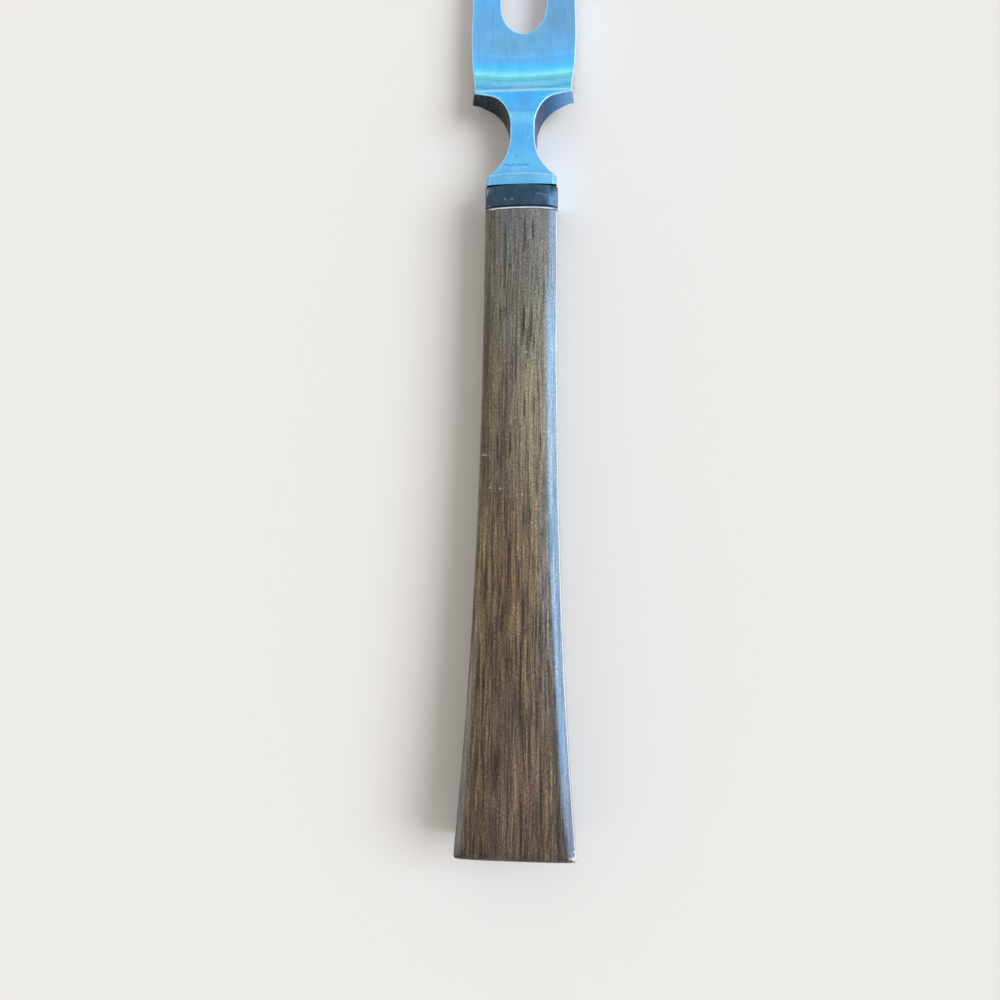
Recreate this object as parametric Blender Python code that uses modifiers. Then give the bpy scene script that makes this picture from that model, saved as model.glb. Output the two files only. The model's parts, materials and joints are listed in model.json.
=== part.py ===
"""Carving fork: a forged two-tine head whose round tang is cemented into a flared wooden handle.

Metres, +Z up, tines along +Y. The fork lies on the flat underside of its handle and on the bellies
of its tines. Each piece is modelled from its own back face and set in line on one datum empty.
"""

import math

import bmesh
import bpy
from mathutils import Vector

# Wooden handle
HANDLE_LENGTH = 0.1300
HANDLE_FRONT_WIDTH = 0.0153
HANDLE_FRONT_THICKNESS = 0.0120
HANDLE_BUTT_WIDTH = 0.0237
HANDLE_BUTT_THICKNESS = 0.0150
HANDLE_FLARE_POWER = 2.65
HANDLE_SWELL_POWER = 1.6
FRONT_CROWN = 0.0018
BUTT_CROWN = 0.0020
FRONT_SQUARENESS = 2.1
BUTT_SQUARENESS = 3.0
UNDERSIDE_SANDED = 0.00015
BUTT_ROUND = 0.0012
BUTT_SIDE_ROUND = 0.0004

# Spacers between the wood and the steel
LINER_THICKNESS = 0.0005
COLLAR_LENGTH = 0.0045
GLUE_LINE = 0.0002

# Tang, and the bore that it is cemented into
TANG_DIAMETER = 0.0050
TANG_DEPTH = 0.0740
TANG_TIP_BEVEL = 0.0008
BORE_DIAMETER = 0.0072
CEMENT_FLOOR = 0.0020
CEMENT_GAP = 0.0002

# Bolster flange
FLANGE_LENGTH = 0.00245
FLANGE_STEP_IN = 0.00025
FLANGE_FRONT_ROUND = 0.0002
FLANGE_FRONT_BOW = 0.0005
FLANGE_CROWN = 0.0007

# Neck
NECK_LENGTH = 0.0207
NECK_FLARE_LENGTH = 0.0119
NECK_FLARE_ACROSS = 0.00505
NECK_FLARE_POWER = 3.0
NECK_ROOT_WIDTH = 0.0146
NECK_ROOT_TOP_ABOVE_TANG = 0.0039
WAIST_WIDTH = 0.00516
WAIST_THICKNESS = 0.0068
WAIST_TOP_ABOVE_TANG = 0.0030
WAIST_WALL_LEAN = 0.0005

# Shoulder, with the ridge across it and the cove that runs down from the ridge to the tines
SHOULDER_LENGTH = 0.0148
SHOULDER_BACK_WIDTH = 0.0224
SHOULDER_WIDTH = 0.0234
SHOULDER_CORNER_BEHIND = 0.00065
SHOULDER_BACK_SLOPE = math.radians(12.5)
SHOULDER_FILLET_ACROSS = 0.0052
SHOULDER_FILLET_ALONG = 0.0074
SHOULDER_WALL_LEAN = 0.00065
RIDGE_TOP_ABOVE_TANG = 0.0025
RIDGE_WALL = 0.0036
RIDGE_RISE = 0.0023
COVE_LENGTH = 0.0084
COVE_BOW = 0.00085

# Tines
TINE_LENGTH = 0.0970
TINE_SPACING = 0.0160
TINE_ROOT_THICKNESS = 0.0030
TINE_END_WIDTH = 0.0028
TINE_END_THICKNESS = 0.0021
TINE_BELLY_PLACE = 0.58
TINE_FLAT_LENGTH = 0.0080
TINE_WALL_LEAN = 0.0001
POINT_LENGTH = 0.0120
POINT_BLUNT = 0.0009
POINT_CURVE = 1.4
SLOT_WIDTH = 0.0100
SLOT_END_LENGTH = 0.0066
EDGE_ROUND = 0.0004

# Facets
CROWN_STEPS = 20
EDGE_STEPS = 3
ACROSS_STEPS = 5
WALL_STEPS = 3
BORE_SIDES = 32

# Lengths and heights that follow from the sizes above
TANG_HEIGHT = HANDLE_FRONT_THICKNESS / 2
LINER_BACK = HANDLE_LENGTH + GLUE_LINE
COLLAR_BACK = LINER_BACK + LINER_THICKNESS + GLUE_LINE
FLANGE_BACK = COLLAR_BACK + COLLAR_LENGTH + GLUE_LINE
NECK_START = FLANGE_LENGTH
RIDGE_Y = NECK_START + NECK_LENGTH
COVE_FOOT = RIDGE_Y + COVE_LENGTH
CROTCH_Y = RIDGE_Y + SHOULDER_LENGTH
TIP_Y = CROTCH_Y + TINE_LENGTH
OVERALL_LENGTH = FLANGE_BACK + TIP_Y

NECK_ROOT_TOP = TANG_HEIGHT + NECK_ROOT_TOP_ABOVE_TANG
WAIST_TOP = TANG_HEIGHT + WAIST_TOP_ABOVE_TANG
WAIST_BOTTOM = WAIST_TOP - WAIST_THICKNESS
RIDGE_TOP = TANG_HEIGHT + RIDGE_TOP_ABOVE_TANG
TINE_TOP = RIDGE_TOP - RIDGE_RISE
TINE_BOTTOM = TINE_TOP - TINE_ROOT_THICKNESS


def mix(a, b, t):
    return a + (b - a) * t


def smooth(t):
    """Eased 0 to 1."""
    t = min(max(t, 0.0), 1.0)
    return t * t * (3 - 2 * t)


def new_material(name, colour, roughness, metallic=0.0):
    material = bpy.data.materials.new(name)
    material.use_nodes = True
    shader = material.node_tree.nodes["Principled BSDF"]
    shader.inputs["Base Color"].default_value = (*colour, 1.0)
    shader.inputs["Roughness"].default_value = roughness
    shader.inputs["Metallic"].default_value = metallic
    return material


def new_collection(name):
    collection = bpy.data.collections.new(name)
    bpy.context.scene.collection.children.link(collection)
    return collection


def add_object(name, mesh, collection, parent, location):
    thing = bpy.data.objects.new(name, mesh)
    thing.parent = parent
    thing.location = location
    collection.objects.link(thing)
    return thing


def finish_mesh(mesh, material, sharp_degrees=35.0):
    mesh.materials.append(material)
    mesh.shade_smooth()
    mesh.set_sharp_from_angle(angle=math.radians(sharp_degrees))


def add_cutter(name, radius, back, front, parent, bevel=0.0):
    """A round bar along Y from back to front, at the height of the tang: a drill, or the tang itself."""
    shape = bmesh.new()
    bmesh.ops.create_cone(
        shape, cap_ends=True, segments=BORE_SIDES, radius1=radius, radius2=radius, depth=front - back)
    mesh = bpy.data.meshes.new(name)
    shape.to_mesh(mesh)
    shape.free()
    bar = add_object(name, mesh, cutters, parent, (0, (back + front) / 2, TANG_HEIGHT))
    bar.rotation_euler = (math.radians(-90), 0, 0)
    bar.hide_render = True
    bar.display_type = "WIRE"
    if bevel:
        rounding = bar.modifiers.new("tip_bevel", "BEVEL")
        rounding.width = bevel
        rounding.segments = 1
        rounding.limit_method = "ANGLE"
    return bar


def boolean(target, tool, operation):
    step = target.modifiers.new(f"{operation.lower()}_{tool.name}", "BOOLEAN")
    step.operation = operation
    step.object = tool
    step.solver = "EXACT"


def oval_section(y, half_width, top, crown, squareness, inset=0.0):
    """One cross-section of the handle and its spacers: upright sides between an upper and a lower crown,
    the lower one sanded flat. The inset is for the broken edge of the butt."""
    side_inset = inset * BUTT_SIDE_ROUND / BUTT_ROUND
    points = []
    for level, first_angle in ((top - crown, 0.0), (crown - UNDERSIDE_SANDED, math.pi)):
        for step in range(CROWN_STEPS + 1):
            angle = first_angle + math.pi * step / CROWN_STEPS
            across, up = round(math.cos(angle), 12), round(math.sin(angle), 12)
            points.append(Vector((
                (half_width - side_inset) * math.copysign(abs(across) ** (2 / squareness), across),
                y,
                max(level + (crown - inset) * math.copysign(abs(up) ** (2 / squareness), up), inset),
            )))
    return points


def loft_rings(name, rings):
    """A closed body through closed rings of equal length, with a flat cap at each end."""
    shape = bmesh.new()
    rows = [[shape.verts.new(point) for point in ring] for ring in rings]
    count = len(rows[0])
    for row, following in zip(rows, rows[1:]):
        for i in range(count):
            j = (i + 1) % count
            shape.faces.new((row[i], row[j], following[j], following[i]))
    shape.faces.new(rows[0])
    shape.faces.new(rows[-1])
    bmesh.ops.recalc_face_normals(shape, faces=shape.faces)
    mesh = bpy.data.meshes.new(name)
    shape.to_mesh(mesh)
    shape.free()
    return mesh


def front_section(y):
    """The outline that the handle's front end, the liner and the collar share."""
    return oval_section(y, HANDLE_FRONT_WIDTH / 2, HANDLE_FRONT_THICKNESS, FRONT_CROWN, FRONT_SQUARENESS)


def handle_section(y, inset=0.0):
    from_front = 1 - y / HANDLE_LENGTH
    half_width = mix(HANDLE_FRONT_WIDTH, HANDLE_BUTT_WIDTH, from_front ** HANDLE_FLARE_POWER) / 2
    top = mix(HANDLE_FRONT_THICKNESS, HANDLE_BUTT_THICKNESS, from_front ** HANDLE_SWELL_POWER)
    crown = mix(FRONT_CROWN, BUTT_CROWN, from_front)
    return oval_section(y, half_width, top, crown, mix(FRONT_SQUARENESS, BUTT_SQUARENESS, from_front), inset)


def make_wood_handle(datum):
    """Long flared grip with a flat underside, its butt edge broken, drilled from the front for the tang."""
    rings = []
    for step in range(EDGE_STEPS + 1):
        angle = math.radians(90) * step / EDGE_STEPS
        rings.append(handle_section(BUTT_ROUND * (1 - math.sin(angle)), BUTT_ROUND * (1 - math.cos(angle))))
    rings.reverse()
    lengthwise_steps = 22
    for step in range(1, lengthwise_steps + 1):
        rings.append(handle_section(mix(BUTT_ROUND, HANDLE_LENGTH, step / lengthwise_steps)))
    mesh = loft_rings("wood_handle", rings)
    finish_mesh(mesh, walnut)
    handle = add_object("wood_handle", mesh, parts, datum, (0, 0, 0))
    overrun = HANDLE_FRONT_WIDTH
    drill = add_cutter("tang_drill", BORE_DIAMETER / 2, bore_bottom(), HANDLE_LENGTH + overrun, datum)
    boolean(handle, drill, "DIFFERENCE")
    return drill


def make_spacer(name, back, length, material, datum, drill):
    """A plate of the handle's front outline with the tang hole through it."""
    mesh = loft_rings(name, [front_section(0), front_section(length)])
    finish_mesh(mesh, material)
    spacer = add_object(name, mesh, parts, datum, (0, back, 0))
    boolean(spacer, drill, "DIFFERENCE")


def bore_bottom():
    return FLANGE_BACK - TANG_DEPTH - CEMENT_FLOOR - 2 * CEMENT_GAP


def make_tang_cement(datum):
    """Set cement round the tang: a turned cup that fills the bore, the liner and the collar."""
    length = FLANGE_BACK - GLUE_LINE - bore_bottom() - CEMENT_GAP
    outer = BORE_DIAMETER / 2 - CEMENT_GAP
    inner = TANG_DIAMETER / 2 + CEMENT_GAP
    outline = ((0, CEMENT_FLOOR), (inner, CEMENT_FLOOR), (inner, length), (outer, length), (outer, 0), (0, 0))
    shape = bmesh.new()
    verts = [shape.verts.new((radius, 0, height)) for radius, height in outline]
    for a, b in zip(verts, verts[1:]):
        shape.edges.new((a, b))
    mesh = bpy.data.meshes.new("tang_cement")
    shape.to_mesh(mesh)
    shape.free()
    finish_mesh(mesh, cement)
    cup = add_object("tang_cement", mesh, parts, datum, (0, bore_bottom() + CEMENT_GAP, TANG_HEIGHT))
    cup.rotation_euler = (math.radians(-90), 0, 0)
    turning = cup.modifiers.new("turning", "SCREW")
    turning.steps = BORE_SIDES
    turning.render_steps = BORE_SIDES
    turning.use_merge_vertices = True
    turning.merge_threshold = 0.00001


def cross_chain(inner, outer, outward, lean, top, bottom_mid, bottom_edge, rounds, slot_side=None):
    """Points of one cut through the right half of the head, from its inner top edge round to its underside.

    inner and outer are plan points of the top face. outward points away from the steel at the outer
    edge, where the wall leans out by lean on its way down. rounds is the size of the edge rounding,
    across and down. slot_side points from the slot into the steel, once the cut reaches the slot.
    """
    round_across, round_down = rounds
    start = inner + slot_side * round_across if slot_side else inner
    top_edge = outer - outward * round_across
    foot = outer + outward * lean
    bottom_edge_in = foot - outward * round_across
    chain = []
    for step in range(ACROSS_STEPS + 1):
        chain.append((*start.lerp(top_edge, step / ACROSS_STEPS), top))
    for step in range(1, EDGE_STEPS + 1):
        angle = math.radians(90) * step / EDGE_STEPS
        plan = top_edge + outward * round_across * math.sin(angle)
        chain.append((*plan, top - round_down * (1 - math.cos(angle))))
    wall_top = Vector((*outer, top - round_down))
    wall_foot = Vector((*foot, bottom_edge + round_down))
    for step in range(1, WALL_STEPS):
        chain.append(tuple(wall_top.lerp(wall_foot, step / WALL_STEPS)))
    for step in range(EDGE_STEPS + 1):
        angle = math.radians(90) * step / EDGE_STEPS
        plan = bottom_edge_in + outward * round_across * math.cos(angle)
        chain.append((*plan, bottom_edge + round_down * (1 - math.sin(angle))))
    for step in range(1, ACROSS_STEPS + 1):
        t = step / ACROSS_STEPS
        chain.append((*bottom_edge_in.lerp(start, t), mix(bottom_edge, bottom_mid, t * t)))
    wall = []
    if slot_side:
        for step in range(1, EDGE_STEPS + 1):
            angle = math.radians(90) * step / EDGE_STEPS
            plan = start - slot_side * round_across * math.sin(angle)
            wall.append((*plan, bottom_mid + round_down * (1 - math.cos(angle))))
        for step in range(EDGE_STEPS):
            angle = math.radians(90) * step / EDGE_STEPS
            plan = start - slot_side * round_across * math.cos(angle)
            wall.append((*plan, top - round_down * (1 - math.sin(angle))))
    return chain + wall


RIGHT = Vector((1.0, 0.0))


def inside_flange(x, up, inset):
    """Whether a point, measured from the tang, lies inside the flange's outline."""
    half_width = HANDLE_FRONT_WIDTH / 2 - FLANGE_STEP_IN - inset
    above_wall = max(abs(up) - (HANDLE_FRONT_THICKNESS / 2 - FLANGE_STEP_IN - FLANGE_CROWN), 0.0)
    crown = FLANGE_CROWN - inset
    return (abs(x) / half_width) ** FRONT_SQUARENESS + (above_wall / crown) ** FRONT_SQUARENESS <= 1


def bowed_back(x, y):
    """The flange's front face bows: it falls back a little towards its sides."""
    return y - FLANGE_FRONT_BOW * (2 * x / HANDLE_FRONT_WIDTH) ** 2


def flange_cut(y, inset, neck_root):
    """The flange's outline, with each point straight outside one of the neck's root, seen from the tang."""
    cut = []
    for x, _, z in neck_root:
        up = z - TANG_HEIGHT
        near, far = 0.0, 20.0
        for _ in range(50):
            halfway = (near + far) / 2
            if inside_flange(x * halfway, up * halfway, inset):
                near = halfway
            else:
                far = halfway
        cut.append((x * near, bowed_back(x * near, y) if y else y, TANG_HEIGHT + up * near))
    return cut


def neck_cut(place):
    """A straight cut through the neck at a distance from the flange: flat on top, with flared sides."""
    t = 1 - place / NECK_FLARE_LENGTH
    half_width = min(WAIST_WIDTH / 2 + NECK_FLARE_ACROSS * t ** NECK_FLARE_POWER, NECK_ROOT_WIDTH / 2)
    y = NECK_START + place
    return cross_chain(
        Vector((0, y)), Vector((half_width, y)), RIGHT, WAIST_WALL_LEAN * (1 - t) ** 2,
        mix(WAIST_TOP, NECK_ROOT_TOP, t), WAIST_BOTTOM, WAIST_BOTTOM, (EDGE_ROUND, EDGE_ROUND))


def flange_and_neck_cuts():
    """Straight cuts from the flange's back face to the waist, where the neck is slimmest."""
    neck_root = neck_cut(0)
    front_round = FLANGE_FRONT_ROUND
    cuts = []
    for y, inset in ((0, 0), (NECK_START - front_round, 0), (NECK_START, front_round)):
        cuts.append(flange_cut(y, inset, neck_root))
    cuts.append([(x, bowed_back(x, y), z) for x, y, z in neck_root])
    flare_steps = 12
    cuts += [neck_cut(NECK_FLARE_LENGTH * step / flare_steps) for step in range(1, flare_steps + 1)]
    return cuts


def back_edge():
    """Plan points of the shoulder's back edge from the waist to the corner, each with its outward side."""
    corner = Vector((SHOULDER_BACK_WIDTH / 2 - SHOULDER_WALL_LEAN, RIDGE_Y - SHOULDER_CORNER_BEHIND))
    turn = math.atan(SHOULDER_FILLET_ALONG / SHOULDER_FILLET_ACROSS / math.tan(SHOULDER_BACK_SLOPE))
    fillet_end_x = WAIST_WIDTH / 2 + SHOULDER_FILLET_ACROSS * (1 - math.cos(turn))
    fillet_end_y = corner.y - (corner.x - fillet_end_x) * math.tan(SHOULDER_BACK_SLOPE)
    fillet_start_y = fillet_end_y - SHOULDER_FILLET_ALONG * math.sin(turn)
    outline = []
    fillet_steps = 8
    for step in range(fillet_steps + 1):
        angle = turn * step / fillet_steps
        point = Vector((
            WAIST_WIDTH / 2 + SHOULDER_FILLET_ACROSS * (1 - math.cos(angle)),
            fillet_start_y + SHOULDER_FILLET_ALONG * math.sin(angle)))
        outward = Vector((SHOULDER_FILLET_ALONG * math.cos(angle), -SHOULDER_FILLET_ACROSS * math.sin(angle)))
        outline.append((point, outward.normalized()))
    back_normal = outline[-1][1]
    edge_steps = 4
    for step in range(1, edge_steps):
        outline.append((outline[fillet_steps][0].lerp(corner, step / edge_steps), back_normal))
    outline.append((corner, (back_normal + RIGHT) / (1 + back_normal.dot(RIGHT))))
    return outline


def shoulder_back_cuts():
    """Fanned cuts that follow the fillet out of the waist and the sloping back edge out to the corner."""
    outline = back_edge()
    start_y, end_y = outline[0][0].y, RIDGE_Y - SHOULDER_CORNER_BEHIND
    cuts = []
    for count, (point, outward) in enumerate(outline):
        t = count / (len(outline) - 1)
        y = mix(start_y, end_y, t)
        cuts.append(cross_chain(
            Vector((0, y)), point, outward,
            mix(WAIST_WALL_LEAN, SHOULDER_WALL_LEAN, t),
            mix(WAIST_TOP, RIDGE_TOP, (y - start_y) / (RIDGE_Y - start_y)),
            WAIST_BOTTOM, mix(WAIST_BOTTOM, RIDGE_TOP - RIDGE_WALL, smooth(t) ** 2.5),
            (EDGE_ROUND, EDGE_ROUND)))
    return cuts


def cove_height(y):
    """Height of the top between the ridge, the hollow's foot and the flat plate."""
    radius = COVE_LENGTH / math.sin(2 * math.atan(RIDGE_RISE / COVE_LENGTH))
    before_foot = COVE_FOOT - min(max(y, RIDGE_Y), COVE_FOOT)
    return TINE_TOP + radius - math.sqrt(radius ** 2 - before_foot ** 2)


def bowed_cove(cut, y):
    """Raises a cut towards its end, because the grinding wheel left the hollow bowed in plan."""
    raised = []
    for number, (x, _, z) in enumerate(cut):
        down_wall = min(max(number - ACROSS_STEPS - EDGE_STEPS, 0) / WALL_STEPS, 1)
        forward = COVE_BOW * (2 * x / SHOULDER_WIDTH) ** 2 * smooth((y - RIDGE_Y) / (0.35 * COVE_LENGTH))
        raised.append((x, y, z + (1 - down_wall) * (cove_height(y - forward) - cove_height(y))))
    return raised


def shoulder_cuts():
    """Straight cuts from the ridge down the cove, then over the flat plate to the slot."""
    cove_steps = 8
    places = [mix(RIDGE_Y, COVE_FOOT, step / cove_steps) for step in range(cove_steps + 1)]
    plate_steps = 4
    places += [mix(COVE_FOOT, CROTCH_Y, step / plate_steps) for step in range(1, plate_steps)]
    cuts = []
    for y in places:
        along = (y - RIDGE_Y) / SHOULDER_LENGTH
        lean = mix(SHOULDER_WALL_LEAN, TINE_WALL_LEAN, smooth((y - RIDGE_Y) / COVE_LENGTH))
        foot = mix(SHOULDER_BACK_WIDTH, SHOULDER_WIDTH, smooth(along)) / 2
        cut = cross_chain(
            Vector((0, y)), Vector((foot - lean, y)), RIGHT, lean, cove_height(y),
            mix(WAIST_BOTTOM, TINE_BOTTOM, smooth(along)),
            mix(RIDGE_TOP - RIDGE_WALL, TINE_BOTTOM, smooth(along)),
            (EDGE_ROUND, EDGE_ROUND))
        cuts.append(bowed_cove(cut, y))
    return cuts


def tine_underside(y):
    """Height of a tine's underside: flat at first, down to the table at the belly, up to the point."""
    past = y - CROTCH_Y
    belly = TINE_LENGTH * TINE_BELLY_PLACE
    if past > belly:
        t = past / belly
    else:
        t = max(past - TINE_FLAT_LENGTH, 0.0) / (belly - TINE_FLAT_LENGTH)
    return TINE_BOTTOM * (1 - 3 * t ** 2 + 2 * t ** 3)


def tine_cuts():
    """Closed cuts from the rounded end of the slot, along the right tine to its point."""
    point_start = TIP_Y - POINT_LENGTH
    slot_side_start = CROTCH_Y + SLOT_END_LENGTH
    outer_start = SHOULDER_WIDTH / 2 - TINE_WALL_LEAN
    outer_end = (TINE_SPACING + TINE_END_WIDTH) / 2
    inner_end = (TINE_SPACING - TINE_END_WIDTH) / 2
    straight = point_start - CROTCH_Y

    def outer_edge(y):
        return mix(outer_start, outer_end, (y - CROTCH_Y) / straight)

    def thickness(y):
        return mix(TINE_ROOT_THICKNESS, TINE_END_THICKNESS, (y - CROTCH_Y) / straight)

    def cut(inner, slot_side, outer, thick, edge):
        low = tine_underside(outer.y)
        return cross_chain(inner, outer, RIGHT, TINE_WALL_LEAN, low + thick, low, low, (edge, edge), slot_side)

    cuts = []
    slot_steps = 8
    for step in range(slot_steps + 1):
        angle = math.radians(90) * step / slot_steps
        inner = Vector((SLOT_WIDTH / 2 * math.sin(angle), slot_side_start - SLOT_END_LENGTH * math.cos(angle)))
        normal = Vector((math.sin(angle) / SLOT_WIDTH * 2, -math.cos(angle) / SLOT_END_LENGTH)).normalized()
        outer = Vector((outer_edge(inner.y), inner.y))
        cuts.append(cut(inner, normal, outer, thickness(inner.y), EDGE_ROUND))
    tine_steps = 14
    for step in range(1, tine_steps + 1):
        t = step / tine_steps
        y = mix(slot_side_start, point_start, t)
        inner = Vector((mix(SLOT_WIDTH / 2, inner_end, t), y))
        cuts.append(cut(inner, RIGHT, Vector((outer_edge(y), y)), thickness(y), EDGE_ROUND))
    point_steps = 6
    for step in range(1, point_steps + 1):
        t = step / point_steps
        y = mix(point_start, TIP_Y, t)
        narrowing = t ** POINT_CURVE
        half = mix(TINE_END_WIDTH, POINT_BLUNT, narrowing) / 2
        thick = mix(TINE_END_THICKNESS, POINT_BLUNT, narrowing)
        edge = mix(EDGE_ROUND, POINT_BLUNT / 3, narrowing)
        inner = Vector((TINE_SPACING / 2 - half, y))
        cuts.append(cut(inner, RIGHT, Vector((TINE_SPACING / 2 + half, y)), thick, edge))
    return cuts


def make_fork_head(datum):
    """The forging: the right half lofted through its cuts, mirrored, and joined to the round tang."""
    open_cuts = flange_and_neck_cuts() + shoulder_back_cuts() + shoulder_cuts()
    closed_cuts = tine_cuts()
    shape = bmesh.new()
    rows = [[shape.verts.new(point) for point in cut] for cut in open_cuts + closed_cuts]
    chain_length = len(rows[0])
    for number, (row, following) in enumerate(zip(rows, rows[1:])):
        both_closed = number >= len(open_cuts)
        last = len(row) if both_closed else chain_length - 1
        for i in range(last):
            j = (i + 1) % len(row)
            shape.faces.new((row[i], row[j], following[j], following[i]))
    shape.faces.new(rows[0])
    shape.faces.new(rows[-1])
    bmesh.ops.recalc_face_normals(shape, faces=shape.faces)
    mesh = bpy.data.meshes.new("fork_head")
    shape.to_mesh(mesh)
    shape.free()
    finish_mesh(mesh, steel)
    head = add_object("fork_head", mesh, parts, datum, (0, FLANGE_BACK, 0))
    mirror = head.modifiers.new("left_half", "MIRROR")
    mirror.use_axis = (True, False, False)
    mirror.use_mirror_merge = True
    mirror.merge_threshold = 0.00001
    tang = add_cutter(
        "tang_bar", TANG_DIAMETER / 2, FLANGE_BACK - TANG_DEPTH, FLANGE_BACK + FLANGE_LENGTH, datum, TANG_TIP_BEVEL)
    boolean(head, tang, "UNION")


for old in list(bpy.data.objects):
    bpy.data.objects.remove(old, do_unlink=True)

parts = new_collection("carving_fork")
cutters = new_collection("carving_fork_cutters")

steel = new_material("stainless_steel", (0.56, 0.58, 0.61), 0.28, 1.0)
black = new_material("black_plastic", (0.012, 0.013, 0.017), 0.30)
pale = new_material("pale_fibre", (0.72, 0.70, 0.64), 0.45)
walnut = new_material("walnut", (0.100, 0.048, 0.028), 0.42)
cement = new_material("resin_cement", (0.42, 0.36, 0.26), 0.55)

fork_datum = bpy.data.objects.new("fork_datum", None)
fork_datum.location = (0, -OVERALL_LENGTH / 2, 0)
parts.objects.link(fork_datum)

tang_drill = make_wood_handle(fork_datum)
make_spacer("pale_liner", LINER_BACK, LINER_THICKNESS, pale, fork_datum, tang_drill)
make_spacer("black_collar", COLLAR_BACK, COLLAR_LENGTH, black, fork_datum, tang_drill)
make_tang_cement(fork_datum)
make_fork_head(fork_datum)
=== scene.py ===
# %% [markdown]
# # A carving fork, dressed in Blender
# The fork's bones are already settled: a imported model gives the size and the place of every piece, and
# it is loaded here as a fixed frame. This lesson gives those bones their looks. It remakes each piece
# that shows as a finer mesh in the same place, finishes each one with a material built from nodes, and
# then lights and photographs the fork from straight above, as the picture does.

# %% Load the frame
import json
import math
from functools import reduce

import bmesh
import bpy
from mathutils import Matrix, Vector

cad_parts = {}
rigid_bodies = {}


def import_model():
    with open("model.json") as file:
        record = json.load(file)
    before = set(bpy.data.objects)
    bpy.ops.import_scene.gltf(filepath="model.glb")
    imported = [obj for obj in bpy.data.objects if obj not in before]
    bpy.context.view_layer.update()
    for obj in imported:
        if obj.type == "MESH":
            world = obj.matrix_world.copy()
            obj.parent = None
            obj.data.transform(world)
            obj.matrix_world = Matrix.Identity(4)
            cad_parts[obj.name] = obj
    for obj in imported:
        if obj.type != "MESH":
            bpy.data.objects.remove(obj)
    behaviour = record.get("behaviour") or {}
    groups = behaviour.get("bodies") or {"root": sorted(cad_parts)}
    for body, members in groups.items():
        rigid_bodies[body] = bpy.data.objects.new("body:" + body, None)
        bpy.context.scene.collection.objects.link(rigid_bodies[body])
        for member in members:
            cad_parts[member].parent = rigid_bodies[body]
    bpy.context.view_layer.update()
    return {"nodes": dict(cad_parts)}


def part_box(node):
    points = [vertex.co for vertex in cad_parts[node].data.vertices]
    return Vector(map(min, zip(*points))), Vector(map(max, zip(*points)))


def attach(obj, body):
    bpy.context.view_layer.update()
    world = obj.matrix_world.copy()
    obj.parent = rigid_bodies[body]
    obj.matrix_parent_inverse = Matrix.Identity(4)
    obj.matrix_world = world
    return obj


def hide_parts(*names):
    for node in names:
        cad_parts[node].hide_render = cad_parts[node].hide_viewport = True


for leftover in list(bpy.data.objects):
    bpy.data.objects.remove(leftover, do_unlink=True)
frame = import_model()
print("nodes in the frame:", sorted(frame["nodes"]))

# %% [markdown]
# ## Reading the frame
# Everything is measured from what the frame holds, so the pieces can't drift. The handle runs along Y
# from its butt to the collar, and the tang's height is the middle of the collar.

# %% Places along the fork
handle_low, handle_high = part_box("wood_handle")
collar_low, collar_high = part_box("black_collar")
liner_low, liner_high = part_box("pale_liner")
head_low, head_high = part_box("fork_head")
butt_y = handle_low.y
bolster_y = handle_high.y
tang_height = (collar_low.z + collar_high.z) / 2
print(f"handle {1000 * (bolster_y - butt_y):.1f} mm long, whole fork {1000 * (head_high.y - butt_y):.1f} mm")


# %% Small helpers for shapes
def mix(a, b, t):
    return a + (b - a) * t


def smooth(t):
    """Eased 0 to 1."""
    t = min(max(t, 0.0), 1.0)
    return t * t * (3 - 2 * t)


def shares(steps):
    """Even shares from 0 to 1."""
    return [step / steps for step in range(steps + 1)]


def quarter_turn(steps):
    """Angles from 0 to 90 degrees in even steps."""
    return [math.radians(90) * t for t in shares(steps)]


def put_in_scene(name, data):
    made = bpy.data.objects.new(name, data)
    bpy.context.scene.collection.objects.link(made)
    return made


def mesh_object(name, shape, sharp_degrees=40):
    """Turns a finished bmesh into an object: normals out, smooth, with sharp edges kept."""
    bmesh.ops.recalc_face_normals(shape, faces=shape.faces)
    mesh = bpy.data.meshes.new(name)
    shape.to_mesh(mesh)
    shape.free()
    mesh.shade_smooth()
    mesh.set_sharp_from_angle(angle=math.radians(sharp_degrees))
    print(f"{name}: {len(mesh.vertices)} points, {len(mesh.polygons)} faces")
    return put_in_scene(name, mesh)


def bridge_rings(shape, rows, close_round=True):
    """Quads between neighbouring rows of points, each row a ring or an open chain, as a list of strips."""
    strips = []
    for row, following in zip(rows, rows[1:]):
        count = len(row)
        strips.append([])
        for i in range(count if close_round else count - 1):
            j = (i + 1) % count
            strips[-1].append(shape.faces.new((row[i], row[j], following[j], following[i])))
    return strips


# %% [markdown]
# ## The handle
# On the bench this is one stick of straight-grained wood, sawn to a flare and sanded: upright sides
# between a shallow crown above and another below, with a flat along the underside. A box with a bevel
# would do from afar, but the crown has to swell evenly along the flare, so the handle is lofted: one cut
# is drawn again and again along Y, and neighbouring cuts are joined with quads. Close rows keep the long
# highlight on the edge clean.

# %% Handle sizes
handle_butt_width = 0.0237
handle_front_width = collar_high.x - collar_low.x
handle_butt_thickness = 0.015
handle_front_thickness = collar_high.z
handle_flare_power = 2.65
handle_swell_power = 1.6
front_squareness = 2.1
butt_squareness = 3.0
front_crown = 0.0018
butt_crown = 0.002
underside_sanded = 0.00015
butt_round = 0.0012
butt_side_round = 0.0004
cap_sides = 64


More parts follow.
